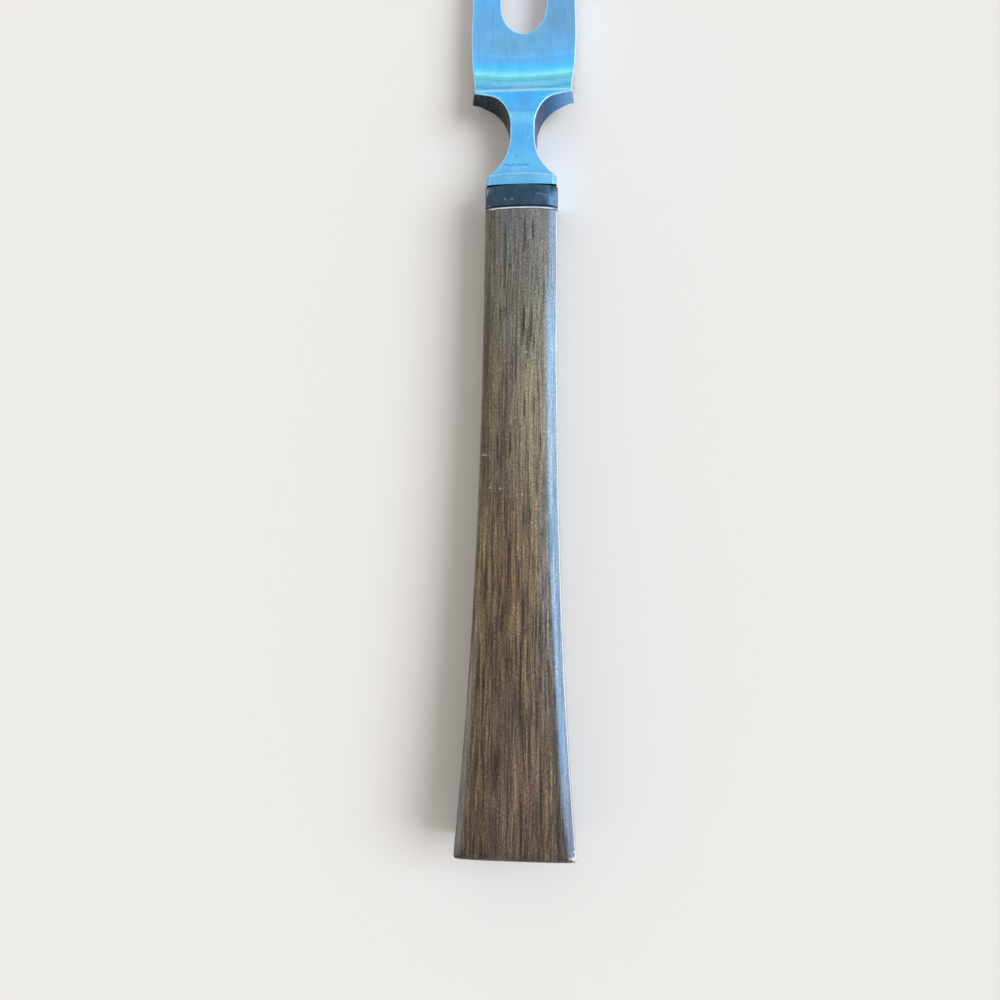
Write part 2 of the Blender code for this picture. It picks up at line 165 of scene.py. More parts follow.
# %% One oval of the handle
def oval_outline(half_width, top, crown, squareness, side_inset, inset):
    """Points (x, z) round one cut: upright sides between two crowns, the lower one sanded flat."""
    outline = []
    for level, first_turn in ((top - crown, 0.0), (crown - underside_sanded, math.pi)):
        for t in shares(cap_sides):
            turn = first_turn + math.pi * t
            across, up = round(math.cos(turn), 12), round(math.sin(turn), 12)
            outline.append((
                (half_width - side_inset) * math.copysign(abs(across) ** (2 / squareness), across),
                max(level + (crown - inset) * math.copysign(abs(up) ** (2 / squareness), up), inset),
            ))
    return outline


def handle_outline(from_front, side_inset, inset):
    """The handle's cut at a share of its length from the front, 0, to the butt, 1."""
    half_width = mix(handle_front_width, handle_butt_width, from_front ** handle_flare_power) / 2
    top = mix(handle_front_thickness, handle_butt_thickness, from_front ** handle_swell_power)
    crown = mix(front_crown, butt_crown, from_front)
    squareness = mix(front_squareness, butt_squareness, from_front)
    return oval_outline(half_width, top, crown, squareness, side_inset, inset)


# %% Loft the handle
def make_handle():
    shape = bmesh.new()
    length = bolster_y - butt_y
    butt_steps, lengthwise_steps = 9, 120
    places = [(butt_y + butt_round * (1 - math.sin(turn)), butt_round * (1 - math.cos(turn)))
              for turn in reversed(quarter_turn(butt_steps))]
    places += [(mix(butt_y + butt_round, bolster_y, t), 0.0) for t in shares(lengthwise_steps)[1:]]
    rows = []
    for y, inset in places:
        outline = handle_outline((bolster_y - y) / length, inset * butt_side_round / butt_round, inset)
        rows.append([shape.verts.new((x, y, z)) for x, z in outline])
    bridge_rings(shape, rows)
    shape.faces.new(rows[0])
    shape.faces.new(rows[-1])
    return mesh_object("walnut_grip", shape)


walnut_grip = make_handle()

# %% [markdown]
# ## Collar and liner
# Two flat plates are threaded on the tang before the handle is glued: a glossy black band and, behind
# it, a pale washer hardly thicker than card. Both have the outline of the handle's front end, and both
# are drilled. A ring of sections makes one without any cutting: out along the outer wall, back along
# the hole, and round again.

# %% Plates on the tang
tang_hole_radius = 0.0036
plate_edge = 0.00015
washer_under_flush = 0.00003


def make_plate(name, low, high, edge, under_flush=0.0):
    shape = bmesh.new()
    half = (high.x - low.x) / 2
    outer, eased = (oval_outline(half, high.z, front_crown, front_squareness, inset, inset)
                    for inset in (under_flush, under_flush + edge))
    hole = []
    for x, z in outer:
        away = Vector((x, z - tang_height)).normalized() * tang_hole_radius
        hole.append((away.x, tang_height + away.y))
    stops = (
        (hole, low.y), (eased, low.y), (outer, low.y + edge),
        (outer, high.y - edge), (eased, high.y), (hole, high.y),
    )
    rows = [[shape.verts.new((x, y, z)) for x, z in outline] for outline, y in stops]
    bridge_rings(shape, rows + rows[:1])
    return mesh_object(name, shape)


black_band = make_plate("black_band", collar_low, collar_high, plate_edge)
pale_washer = make_plate("pale_washer", liner_low, liner_high, plate_edge / 2, washer_under_flush)

# %% [markdown]
# ## The forged head
# Flange, neck, shoulder and tines are one forging, and no primitive comes near it. It is lofted like
# the handle, but only its right half: a chain of points runs from the middle of the top face, over the
# edge, down the wall and back along the underside. The chains are straight across on the neck, fan out
# round the shoulder's back corner, and become closed rings where the slot begins. A Mirror modifier
# then makes the left half. The edges carry a real rounding, because on polished steel it is the edge
# that draws the bright line.

# %% Head sizes
flange_length = 0.00245
flange_step_in = 0.00025
flange_front_round = 0.0002
flange_front_bow = 0.0005
flange_bow_rate = flange_front_bow / (handle_front_width / 2) ** 2
flange_crown = 0.0007
neck_length = 0.0207
neck_flare_length = 0.0119
neck_flare_across = 0.00505
neck_flare_power = 3.0
neck_root_width = 0.0146
neck_root_top = tang_height + 0.0039
waist_width = 0.00516
waist_thickness = 0.0068
waist_top = tang_height + 0.003
waist_bottom = waist_top - waist_thickness
waist_wall_lean = 0.0005
shoulder_length = 0.0148
shoulder_back_width = 0.0224
shoulder_width = 0.0234
shoulder_corner_behind = 0.00065
shoulder_back_slope = math.radians(12.5)
shoulder_fillet_across = 0.0052
shoulder_fillet_along = 0.0074
shoulder_wall_lean = 0.00065
shoulder_under_power = 2.5
ridge_top = tang_height + 0.0025
ridge_wall = 0.0036
ridge_rise = 0.0023
cove_length = 0.0084
cove_bow = 0.00085
cove_bow_run = 0.35 * cove_length
tine_top = ridge_top - ridge_rise
tine_root_thickness = 0.003
tine_bottom = tine_top - tine_root_thickness
tine_length = 0.097
tine_spacing = 0.016
tine_end_width = 0.0028
tine_end_thickness = 0.0021
tine_belly_place = 0.58
tine_flat_length = 0.008
tine_wall_lean = 0.0001
point_length = 0.012
point_blunt = 0.0009
point_curve = 1.4
slot_width = 0.01
slot_end_length = 0.0066
steel_edge = 0.00024
seam_merge = 0.000005
tang_tip = 0.0008

tip_y = head_high.y
crotch_y = tip_y - tine_length
ridge_y = crotch_y - shoulder_length
cove_foot = ridge_y + cove_length
neck_start = ridge_y - neck_length
flange_back = neck_start - flange_length
tang_radius = 0.0025
print(f"ridge at {1000 * ridge_y:.2f} mm, slot from {1000 * crotch_y:.2f} mm, tips at {1000 * tip_y:.2f} mm")

across_steps, edge_steps, wall_steps = 12, 4, 8
far_outside, halvings = 20.0, 50
right = Vector((1.0, 0.0))


# %% One chain of points across the head
def cross_chain(inner, outer, outward, lean, top, bottom_mid, bottom_edge, edge=steel_edge, slot_side=None):
    """inner and outer are plan points of the top face, outward leaves the steel at the outer edge, lean
    is how far the wall spreads on its way down, and slot_side points from the slot into the steel."""
    start = inner + slot_side * edge if slot_side else inner
    top_in = outer - outward * edge
    low_in = outer + outward * (lean - edge)
    turns = quarter_turn(edge_steps)
    chain = [(*start.lerp(top_in, t), top) for t in shares(across_steps)]
    for turn in turns[1:]:
        plan = top_in + outward * edge * math.sin(turn)
        chain.append((*plan, top - edge * (1 - math.cos(turn))))
    wall_top = Vector((*outer, top - edge))
    wall_foot = Vector((*(outer + outward * lean), bottom_edge + edge))
    chain += [tuple(wall_top.lerp(wall_foot, t)) for t in shares(wall_steps)[1:-1]]
    for turn in turns:
        plan = low_in + outward * edge * math.cos(turn)
        chain.append((*plan, bottom_edge + edge * (1 - math.sin(turn))))
    for t in shares(across_steps)[1:]:
        chain.append((*low_in.lerp(start, t), mix(bottom_edge, bottom_mid, t * t)))
    if slot_side:
        for turn in turns[1:]:
            plan = start - slot_side * edge * math.sin(turn)
            chain.append((*plan, bottom_mid + edge * (1 - math.cos(turn))))
        for turn in turns[:-1]:
            plan = start - slot_side * edge * math.cos(turn)
            chain.append((*plan, top - edge * (1 - math.sin(turn))))
    return chain


# %% Flange and neck
def inside_flange(x, up, inset):
    """Whether a point, measured from the tang, lies inside the flange's oval."""
    half_width = handle_front_width / 2 - flange_step_in - inset
    above_wall = max(abs(up) - (handle_front_thickness / 2 - flange_step_in - flange_crown), 0.0)
    crown = flange_crown - inset
    return (abs(x) / half_width) ** front_squareness + (above_wall / crown) ** front_squareness <= 1


def flange_chain(y, inset, bow, neck_root):
    """The flange's oval, each point straight outside one of the neck's root, seen from the tang."""
    chain = []
    for x, _, z in neck_root:
        up = z - tang_height
        near, far = 0.0, far_outside
        for _ in range(halvings):
            halfway = (near + far) / 2
            near, far = (halfway, far) if inside_flange(x * halfway, up * halfway, inset) else (near, halfway)
        away = x * near / (handle_front_width / 2)
        chain.append((x * near, y - bow * away ** 2, tang_height + up * near))
    return chain


def neck_chain(place):
    """A straight cut at a distance from the flange: flat on top, with flared sides."""
    t = 1 - place / neck_flare_length
    half_width = min(waist_width / 2 + neck_flare_across * t ** neck_flare_power, neck_root_width / 2)
    y = neck_start + place
    return cross_chain(
        Vector((0, y)), Vector((half_width, y)), right, waist_wall_lean * (1 - t) ** 2,
        mix(waist_top, neck_root_top, t), waist_bottom, waist_bottom)


def flange_and_neck():
    neck_root = neck_chain(-flange_front_bow)
    chains = [flange_chain(flange_back, 0.0, 0.0, neck_root)]
    for turn in quarter_turn(edge_steps):
        y = neck_start - flange_front_round * (1 - math.sin(turn))
        chains.append(flange_chain(y, flange_front_round * (1 - math.cos(turn)), flange_front_bow, neck_root))
    chains.append([(x, y - flange_bow_rate * x ** 2, z) for x, y, z in neck_chain(0)])
    flare_steps = 36
    chains += [neck_chain(neck_flare_length * t) for t in shares(flare_steps)[1:]]
    return chains


# %% Shoulder: the back edge
def back_edge():
    """Plan points of the shoulder's back edge from the waist to the corner, each with its outward side."""
    corner = Vector((shoulder_back_width / 2 - shoulder_wall_lean, ridge_y - shoulder_corner_behind))
    turn_end = math.atan(shoulder_fillet_along / shoulder_fillet_across / math.tan(shoulder_back_slope))
    end_x = waist_width / 2 + shoulder_fillet_across * (1 - math.cos(turn_end))
    end_y = corner.y - (corner.x - end_x) * math.tan(shoulder_back_slope)
    start_y = end_y - shoulder_fillet_along * math.sin(turn_end)
    outline = []
    fillet_steps, straight_steps = 24, 12
    for t in shares(fillet_steps):
        turn = turn_end * t
        point = Vector((waist_width / 2 + shoulder_fillet_across * (1 - math.cos(turn)),
                        start_y + shoulder_fillet_along * math.sin(turn)))
        across, along = shoulder_fillet_along * math.cos(turn), -shoulder_fillet_across * math.sin(turn)
        outline.append((point, Vector((across, along)).normalized()))
    fillet_end, back_normal = outline[-1]
    outline += [(fillet_end.lerp(corner, t), back_normal) for t in shares(straight_steps)[1:-1]]
    outline.append((corner, (back_normal + right) / (1 + back_normal.dot(right))))
    return outline


def shoulder_back():
    outline = back_edge()
    start_y, end_y = outline[0][0].y, ridge_y - shoulder_corner_behind
    chains = []
    for t, (point, outward) in zip(shares(len(outline) - 1), outline):
        y = mix(start_y, end_y, t)
        chains.append(cross_chain(
            Vector((0, y)), point, outward, mix(waist_wall_lean, shoulder_wall_lean, t),
            mix(waist_top, ridge_top, (y - start_y) / (ridge_y - start_y)),
            waist_bottom, mix(waist_bottom, ridge_top - ridge_wall, smooth(t) ** shoulder_under_power)))
    return chains


# %% Shoulder: the ridge and the hollow before the tines
def cove_height(y):
    radius = cove_length / math.sin(2 * math.atan(ridge_rise / cove_length))
    before_foot = cove_foot - min(max(y, ridge_y), cove_foot)
    return tine_top + radius - math.sqrt(radius ** 2 - before_foot ** 2)


def bowed_cove(chain, y):
    """Raises a chain towards its ends, because the grinding wheel left the hollow bowed in plan."""
    raised = []
    for number, (x, _, z) in enumerate(chain):
        down_wall = min(max(number - across_steps - edge_steps, 0) / wall_steps, 1)
        forward = cove_bow * (2 * x / shoulder_width) ** 2 * smooth((y - ridge_y) / cove_bow_run)
        raised.append((x, y, z + (1 - down_wall) * (cove_height(y - forward) - cove_height(y))))
    return raised


def ridge_to_slot():
    cove_steps, plate_steps = 40, 14
    places = [mix(ridge_y, cove_foot, t) for t in shares(cove_steps)]
    places += [mix(cove_foot, crotch_y, t) for t in shares(plate_steps)[1:-1]]
    chains = []
    for y in places:
        along = smooth((y - ridge_y) / shoulder_length)
        lean = mix(shoulder_wall_lean, tine_wall_lean, smooth((y - ridge_y) / cove_length))
        foot = mix(shoulder_back_width, shoulder_width, along) / 2
        chain = cross_chain(
            Vector((0, y)), Vector((foot - lean, y)), right, lean, cove_height(y),
            mix(waist_bottom, tine_bottom, along), mix(ridge_top - ridge_wall, tine_bottom, along))
        chains.append(bowed_cove(chain, y))
    return chains


# %% Tines
def tine_underside(y):
    """The tine is flat at first, dips to the table at its belly and lifts again to the point."""
    past = y - crotch_y
    belly = tine_length * tine_belly_place
    t = past / belly if past > belly else max(past - tine_flat_length, 0.0) / (belly - tine_flat_length)
    return tine_bottom * (1 - 3 * t ** 2 + 2 * t ** 3)


def tine_rings():
    point_start = tip_y - point_length
    slot_straight = crotch_y + slot_end_length
    outer_root = shoulder_width / 2 - tine_wall_lean
    outer_end = (tine_spacing + tine_end_width) / 2
    inner_end = (tine_spacing - tine_end_width) / 2

    def ring(inner, slot_side, outer_x, thick, edge=steel_edge):
        low = tine_underside(inner.y)
        outer = Vector((outer_x, inner.y))
        return cross_chain(inner, outer, right, tine_wall_lean, low + thick, low, low, edge, slot_side)

    def shank(inner, slot_side):
        along = (inner.y - crotch_y) / (point_start - crotch_y)
        thick = mix(tine_root_thickness, tine_end_thickness, along)
        return ring(inner, slot_side, mix(outer_root, outer_end, along), thick)

    rings = []
    slot_steps, tine_steps, point_steps = 22, 44, 18
    for turn in quarter_turn(slot_steps):
        inner = Vector((slot_width / 2 * math.sin(turn), slot_straight - slot_end_length * math.cos(turn)))
        into_steel = Vector((2 * math.sin(turn) / slot_width, -math.cos(turn) / slot_end_length)).normalized()
        rings.append(shank(inner, into_steel))
    for t in shares(tine_steps)[1:]:
        inner = Vector((mix(slot_width / 2, inner_end, t), mix(slot_straight, point_start, t)))
        rings.append(shank(inner, right))
    for t in shares(point_steps)[1:]:
        narrowing = t ** point_curve
        half = mix(tine_end_width, point_blunt, narrowing) / 2
        inner = Vector((tine_spacing / 2 - half, mix(point_start, tip_y, t)))
        thick = mix(tine_end_thickness, point_blunt, narrowing)
        edge = mix(steel_edge, point_blunt / 3, narrowing)
        rings.append(ring(inner, right, tine_spacing / 2 + half, thick, edge))
    return rings


# %% Join the head
def tang_chain(y, radius, count):
    """Half a round bar, with as many points as the flange's chain, so that one strip joins them."""
    turns = [math.radians(90 - 180 * t) for t in shares(count - 1)]
    chain = [[radius * math.cos(turn), y, tang_height + radius * math.sin(turn)] for turn in turns]
    chain[0][0] = chain[-1][0] = 0.0
    return chain


def mark_highlight_edges(highlight_mask, open_strips, ring_strips, flange_row):
    """Marks the faces of rounded edges, where the steel's finish paints a highlight line."""
    wall_start = across_steps + edge_steps
    wall_end = wall_start + wall_steps
    flange_end = flange_row + edge_steps
    faces = [face for strip in open_strips[flange_row:flange_end] for face in strip]
    for strip in open_strips[flange_end:] + ring_strips:
        faces += strip[across_steps:wall_start] + strip[wall_end:wall_end + edge_steps]
    for strip in ring_strips:
        faces += strip[-edge_steps:]
    for face in faces:
        face[highlight_mask] = 1.0


def make_head():
    open_chains = flange_and_neck() + shoulder_back() + ridge_to_slot()
    count = len(open_chains[0])
    tang_end = head_low.y
    stops = ((tang_end, tang_radius - tang_tip), (tang_end + tang_tip, tang_radius), (flange_back, tang_radius))
    tang = [tang_chain(y, radius, count) for y, radius in stops]
    shape = bmesh.new()
    highlight_mask = shape.faces.layers.float.new("painted_edge_highlight")
    open_rows = [[shape.verts.new(point) for point in chain] for chain in tang + open_chains]
    rings = [[shape.verts.new(point) for point in ring] for ring in tine_rings()]
    open_strips = bridge_rings(shape, open_rows + [rings[0][:count]], close_round=False)
    ring_strips = bridge_rings(shape, rings)
    shape.faces.new(open_rows[0])
    shape.faces.new(rings[-1])
    mark_highlight_edges(highlight_mask, open_strips, ring_strips, len(tang) + 1)
    head = mesh_object("forged_head", shape, sharp_degrees=34)
    other_half = head.modifiers.new("left_half", "MIRROR")
    other_half.use_axis = (True, False, False)
    other_half.use_mirror_merge = True
    other_half.merge_threshold = seam_merge
    return head


forged_head = make_head()

# %% [markdown]
# ## Nodes without clutter
# Each finish is a small network of nodes. One helper makes a node, sets its values and plugs in what
# comes before it, so a network reads from top to bottom like a recipe. Patterns follow the piece's own
# coordinates in metres, stretched along the grain by a plain multiplication.

# %% Node helpers
def is_socket(value):
    return isinstance(value, bpy.types.NodeSocket)


def plug(node, inputs):
    """Links what comes from other nodes to a node's inputs, and sets plain values on the rest."""
    for socket, value in inputs.items():
        if is_socket(value):
            node.id_data.links.new(value, node.inputs[socket])
        else:
            node.inputs[socket].default_value = value


def add_node(kind, inputs=None, tree=None, **settings):
    """Makes a node in the network that its inputs come from, or else in the one named."""
    inputs = inputs or {}
    tree = tree or next(value.id_data for value in inputs.values() if is_socket(value))
    made = tree.nodes.new("ShaderNode" + kind)
    for key, value in settings.items():
        setattr(made, key, value)
    plug(made, inputs)
    return made


def new_finish(name):
    finish = bpy.data.materials.new(name)
    finish.use_nodes = True
    tree = finish.node_tree
    place = add_node("TexCoord", tree=tree).outputs["Object"]
    return finish, tree.nodes["Principled BSDF"], place


def facing(finish):
    """The way a surface looks out."""
    return add_node("NewGeometry", tree=finish.node_tree).outputs["Normal"]


def bumpy(height, strength, distance):
    """The same for a surface with a texture too fine to model."""
    inputs = {"Height": height, "Strength": strength, "Distance": distance}
    return add_node("Bump", inputs).outputs["Normal"]


def vector(operation, a, b=(0.0, 0.0, 0.0)):
    return add_node("VectorMath", {0: a, 1: b}, operation=operation).outputs


def maths(operation, a, b=0.0):
    return add_node("Math", {0: a, 1: b}, operation=operation).outputs[0]


def times(*values):
    return reduce(lambda a, b: maths("MULTIPLY", a, b), values)


def most(*values):
    return reduce(lambda a, b: maths("MAXIMUM", a, b), values)


def split(place):
    """The x, y and z of a vector."""
    return list(add_node("SeparateXYZ", {0: place}).outputs)


# %% Patterns
def noise(place, per_metre, detail=2.0, roughness=0.5):
    """Soft cells, so many to the metre each way. One number stands for all three."""
    if not isinstance(per_metre, tuple):
        per_metre = 3 * (per_metre,)
    return add_node("TexNoise", {
        "Vector": vector("MULTIPLY", place, per_metre)[0], "Scale": 1.0, "Detail": detail,
        "Roughness": roughness}).outputs["Fac"]


def spread(value, low, high, to_low=0.0, to_high=1.0):
    """Carries the range from low to high over to another one, and stops at its ends."""
    inputs = {"Value": value, "From Min": low, "From Max": high, "To Min": to_low, "To Max": to_high}
    return add_node("MapRange", inputs).outputs["Result"]


def away_from(place, centre, reach):
    """Distance from a centre, where reach counts as 1."""
    offset = vector("SUBTRACT", place, centre)[0]
    return vector("LENGTH", vector("DIVIDE", offset, reach)[0])["Value"]


def spot(place, centre, reach):
    """1 in the middle of a soft blot, 0 from its rim outwards."""
    return spread(away_from(place, centre, reach), 1.0, 0.0)


def line(value, middle, half_width):
    """1 where a value is at its middle, falling to 0 on both sides."""
    return spread(maths("ABSOLUTE", maths("SUBTRACT", value, middle)), half_width, 0.0)


def swayed(value, pattern, amount):
    """A value pushed to and fro by a pattern."""
    return maths("ADD", value, spread(pattern, 0.2, 0.8, -amount, amount))


# %% Colours
mix_factor, mix_below, mix_above, mix_result = 0, 6, 7, 2  # the Mix node's sockets for colours


def ramp(value, stops):
    """A colour for each value, through stops. A stop with one number is a grey."""
    made = add_node("ValToRGB", {"Fac": value})
    bar = made.color_ramp
    while len(bar.elements) < len(stops):
        bar.elements.new(0.5)
    for element, (at, colour) in zip(bar.elements, stops):
        element.position = at
        element.color = (*(colour if isinstance(colour, tuple) else 3 * (colour,)), 1.0)
    return made.outputs["Color"]


def blend(factor, below, above, mode="MIX"):
    """Lays a colour over another one."""
    below, above = (colour if is_socket(colour) else (*colour, 1.0) for colour in (below, above))
    inputs = {mix_factor: factor, mix_below: below, mix_above: above}
    return add_node("Mix", inputs, data_type="RGBA", blend_type=mode).outputs[mix_result]


def tint(colour, by, factor=1.0):
    """Multiplies a colour by another one."""
    return blend(factor, colour, by, "MULTIPLY")


# %% [markdown]
# ## Walnut
# The grip is straight-grained wood under a thin, hard finish. Its colour isn't even: greyer and lighter
# in the upper half, browner towards the butt, with olive streaks, growth lines that run nearly the whole
# length, and thousands of short dark pores, which open up towards the butt. A picture of wood would be
# quicker, but it stops at its own size. Here each layer is a noise drawn out along the grain, one over
# the other, and all of them bend with the same slow wander, as fibres do.

# %% Walnut streaks and long pores
mm = 0.001
mark_height, mark_depth = 0.013, 0.02
streak_strength = 1.6
pore_half_width = 0.34
# Each streak has its middle, across and along, its reach both ways, and a shade
wood_streaks = (
    ((-6.9, -37), (1.1, 20), (0.62, 0.6, 0.53)),
    ((-7.1, -60), (1, 12), (0.7, 0.68, 0.6)),
    ((-2.2, -36), (1.8, 18), (0.95, 0.91, 1.06)),
    ((2.8, -38), (1.8, 20), (1.04, 1.05, 0.92)),
    ((-3.6, -58), (2.6, 10), (0.92, 0.87, 1.0)),
    ((-1.6, -77), (3, 15), (1.0, 0.92, 0.82)),
    ((2.2, -34), (5, 34), (1.16, 1.2, 1.22)),
    ((1.4, -26), (3.2, 20), (0.78, 0.82, 0.87)),
    ((-3, -23), (2.2, 18), (1.28, 1.4, 1.36)),
    ((7.8, -127), (5.8, 20), (0.76, 0.73, 0.72)),
    ((-6.4, -86), (1.3, 21), (1.16, 1.2, 1.0)),
    ((-0.5, -91), (0.9, 15), (1.16, 1.1, 0.9)),
    # painted sheen: this bluish streak on the right stands for the blue window's reflection
    ((5, -83), (1.3, 24), (1.02, 1.02, 1.26)),
    ((3.3, -82), (1, 13), (1.14, 1.16, 0.98)),
    ((-5.9, -118), (1.2, 17), (1.14, 1.12, 0.94)),
    ((-4, -130), (0.9, 6), (0.6, 0.52, 0.62)),
    ((-0.2, -120), (0.5, 16), (1.26, 1.24, 1.08)),
    ((3.4, -124), (1.8, 7), (0.82, 0.74, 0.78)),
    ((7.2, -121), (1.6, 13), (1.08, 1.12, 1.0)),
    # painted sheen: this bluish streak on the right stands for the blue window's reflection
    ((6, -80), (2.4, 32), (1.02, 1.18, 1.36)),
    ((-5.8, -52), (2.8, 30), (0.86, 0.87, 0.85)),
    ((-3, -63), (2.4, 16), (0.85, 0.86, 0.8)),
    ((0.2, -111), (2.6, 13), (0.8, 0.8, 0.78)),
    ((3.8, -105), (2.6, 16), (0.85, 0.86, 0.85)),
    ((-3.2, -95), (2.6, 20), (0.88, 0.85, 0.74)),
)
# Each pore has its middle and half its length
long_pores = (
    ((-3.4, -15.5), 10), ((-4.1, -29.3), 5), ((0.5, -10.5), 5), ((0.7, -29), 4), ((2.4, -9.7), 3),
    ((1.7, -34.5), 5), ((2.3, -30.3), 5), ((1.3, -47), 4), ((-4.3, -56), 5), ((-1.6, -55), 4),
    ((0.3, -83), 6), ((1.2, -90.5), 9), ((2.1, -86.5), 6), ((-4.7, -96), 9), ((-2.9, -89.5), 4),
    ((2.3, -97.5), 6), ((-8.7, -92), 12), ((-3.9, -118.5), 6), ((-7.5, -115), 6), ((2.5, -115), 8),
    ((4.1, -126.5), 6), ((-9.2, -130), 5), ((-6.2, -85), 8), ((-1.8, -79), 7), ((4.6, -92), 8),
    ((6.3, -101), 7), ((-6.6, -104), 7), ((0.8, -108), 6),
)
pale_flecks = ((-5.7, -63.9), (0.8, -65.3), (2.8, -70.9), (-3.6, -64.1), (1.3, -36.0), (2.3, -100.0))


def long_mark(grain, middle, half_width, half_length):
    """1 in the middle of a mark drawn out along the grain, 0 from its rim outwards. Sizes are in mm."""
    across, along = middle
    return spot(grain, (across * mm, along * mm, mark_height), (half_width * mm, half_length * mm, mark_depth))


# %% Walnut colour
def walnut_colour(place, grain):
    across, along, _ = split(place)
    from_butt = spread(along, butt_y, bolster_y)
    colour = ramp(from_butt, (
        (0.0, (0.097, 0.069, 0.045)), (0.13, (0.12, 0.088, 0.057)), (0.315, (0.132, 0.096, 0.061)),
        (0.41, (0.138, 0.101, 0.065)), (0.5, (0.147, 0.113, 0.073)), (0.59, (0.164, 0.141, 0.094)),
        (0.685, (0.17, 0.146, 0.098)), (0.777, (0.16, 0.142, 0.107)), (0.87, (0.141, 0.126, 0.099)),
        (0.97, (0.139, 0.128, 0.109)),
    ))
    flare = maths("POWER", maths("SUBTRACT", 1.0, from_butt), handle_flare_power)
    half_width = spread(flare, 0.0, 1.0, handle_front_width / 2, handle_butt_width / 2)
    # Painted light in part: the wood is made darker on the left and lighter on the right, as light falls from
    # the right, and its right edge is tinted blue as painted sheen of the blue window; the rest is the wood's
    # own tone.
    colour = tint(colour, ramp(spread(maths("DIVIDE", across, half_width), -1.0, 1.0), (
        (0.05, (0.82, 0.8, 0.74)), (0.25, (0.84, 0.82, 0.78)), (0.4, (0.89, 0.87, 0.86)),
        (0.5, (1.0, 0.98, 0.98)), (0.66, (1.14, 1.14, 1.1)), (0.82, (1.18, 1.2, 1.2)),
        (0.92, (1.05, 1.12, 1.2)), (1.0, (0.85, 0.95, 1.1)),
    )))
    for middle, reach, shade in wood_streaks:
        strength = times(long_mark(grain, middle, *reach), streak_strength)
        colour = tint(colour, shade, maths("MINIMUM", strength, 1.0))
    zones = noise(grain, (420, 7, 420), 2.0)
    return tint(colour, ramp(zones, (
        (0.3, (1.12, 1.1, 0.94)), (0.41, (0.94, 0.93, 0.92)), (0.5, (1.04, 0.99, 0.98)),
        (0.58, (0.95, 0.91, 0.96)), (0.72, (1.12, 1.1, 0.98)))))


# %% Walnut: the butt's rim and corners
def butt_rim_and_marks(place, colour):
    """Darker wood along the butt's rim and at its left corner, and a pale patch on its right corner."""
    along = split(place)[1]
    rim_blotches = noise(place, 420, 3.0, 0.6)
    rim = spread(swayed(along, rim_blotches, 0.001), butt_y + 0.0024, butt_y + 0.0006)
    colour = tint(colour, (0.52, 0.44, 0.5), times(rim, spread(rim_blotches, 0.4, 0.55)))
    left_corner = spot(place, (-0.0106, butt_y + 0.0012, 0.0138), (0.0022, 0.0022, 0.005))
    colour = tint(colour, (0.4, 0.34, 0.38), left_corner)
    right_corner = spot(place, (0.0113, butt_y + 0.0011, 0.0135), (0.0016, 0.0016, 0.0022))
    pale_corner_patch = times(right_corner, spread(rim_blotches, 0.35, 0.5))
    colour = blend(spread(pale_corner_patch, 0.15, 0.5), colour, (0.62, 0.6, 0.58))
    nick = spot(place, (-0.0069, -0.0572, 0.0117), (0.0009, 0.00028, 0.002))
    colour = blend(times(nick, 0.9), colour, (0.42, 0.38, 0.28))
    for x, y in pale_flecks:
        fleck = spot(place, (x * mm, y * mm, 0.0122), (0.00028, 0.00024, 0.003))
        colour = blend(fleck, colour, (0.55, 0.5, 0.4))
    return colour


# %% Walnut lines, pores and flecks
def walnut_finish():
    finish, shader, place = new_finish("oiled_walnut")
    wander = noise(place, (110, 34, 110), 2.0)
    shift = add_node("CombineXYZ", {"X": spread(wander, 0, 1, -0.0006, 0.0006)}).outputs[0]
    grain = vector("ADD", place, shift)[0]
    colour = walnut_colour(place, grain)
    openness = spread(split(place)[1], -0.04, -0.085, 0.4, 1.0)
    bands = noise(grain, (1900, 11, 1900), 3.0, 0.55)
    colour = tint(colour, ramp(bands, (
        (0.34, (0.4, 0.37, 0.35)), (0.43, (0.78, 0.77, 0.76)), (0.5, 1.0),
        (0.57, (1.2, 1.2, 1.19)), (0.68, (1.6, 1.6, 1.52)))), openness)
    fibre = noise(grain, (3600, 120, 3600), 3.0, 0.7)
    colour = tint(colour, ramp(fibre, ((0.28, (0.55, 0.53, 0.51)), (0.5, 1.0), (0.72, (1.5, 1.5, 1.46)))))
    pores = times(spread(noise(grain, (2500, 12, 2500), 2.0, 0.55), 0.58, 0.63), openness)
    pores = most(pores, spread(noise(grain, (3600, 80, 3600), 1.0), 0.63, 0.69))
    for middle, half_length in long_pores:
        pores = most(pores, spread(long_mark(grain, middle, pore_half_width, half_length), 0.0, 0.45))
    broken = spread(fibre, 0.62, 0.42, 0.6, 1.0)
    pores = times(pores, broken)
    colour = blend(times(pores, 0.88), colour, (0.026, 0.016, 0.01))
    dust = noise(place, (3300, 2300, 3300), 2.0, 0.7)
    colour = tint(colour, ramp(dust, ((0.3, 0.52), (0.5, 1.0), (0.7, 1.6))))
    # Painted highlight: a pale blue-grey line down the right edge of the crown, where the blue window would be
    # mirrored.
    facing_right = split(facing(finish))[0]
    colour = blend(times(line(facing_right, 0.8, 0.2), 0.75), colour, (0.72, 0.78, 0.84))
    height = maths("SUBTRACT", times(fibre, 0.4), pores)
    plug(shader, {
        "Base Color": butt_rim_and_marks(place, colour), "Roughness": spread(fibre, 0.2, 0.8, 0.42, 0.58),
        "Specular IOR Level": 0.1, "Normal": bumpy(height, 0.35, 0.00004),
        "Coat Weight": 1.0, "Coat Roughness": 0.13, "Coat IOR": 1.5,
        "Coat Normal": bumpy(fibre, 0.25, 0.00003)})
    print("walnut:", len(finish.node_tree.nodes), "nodes")
    return finish
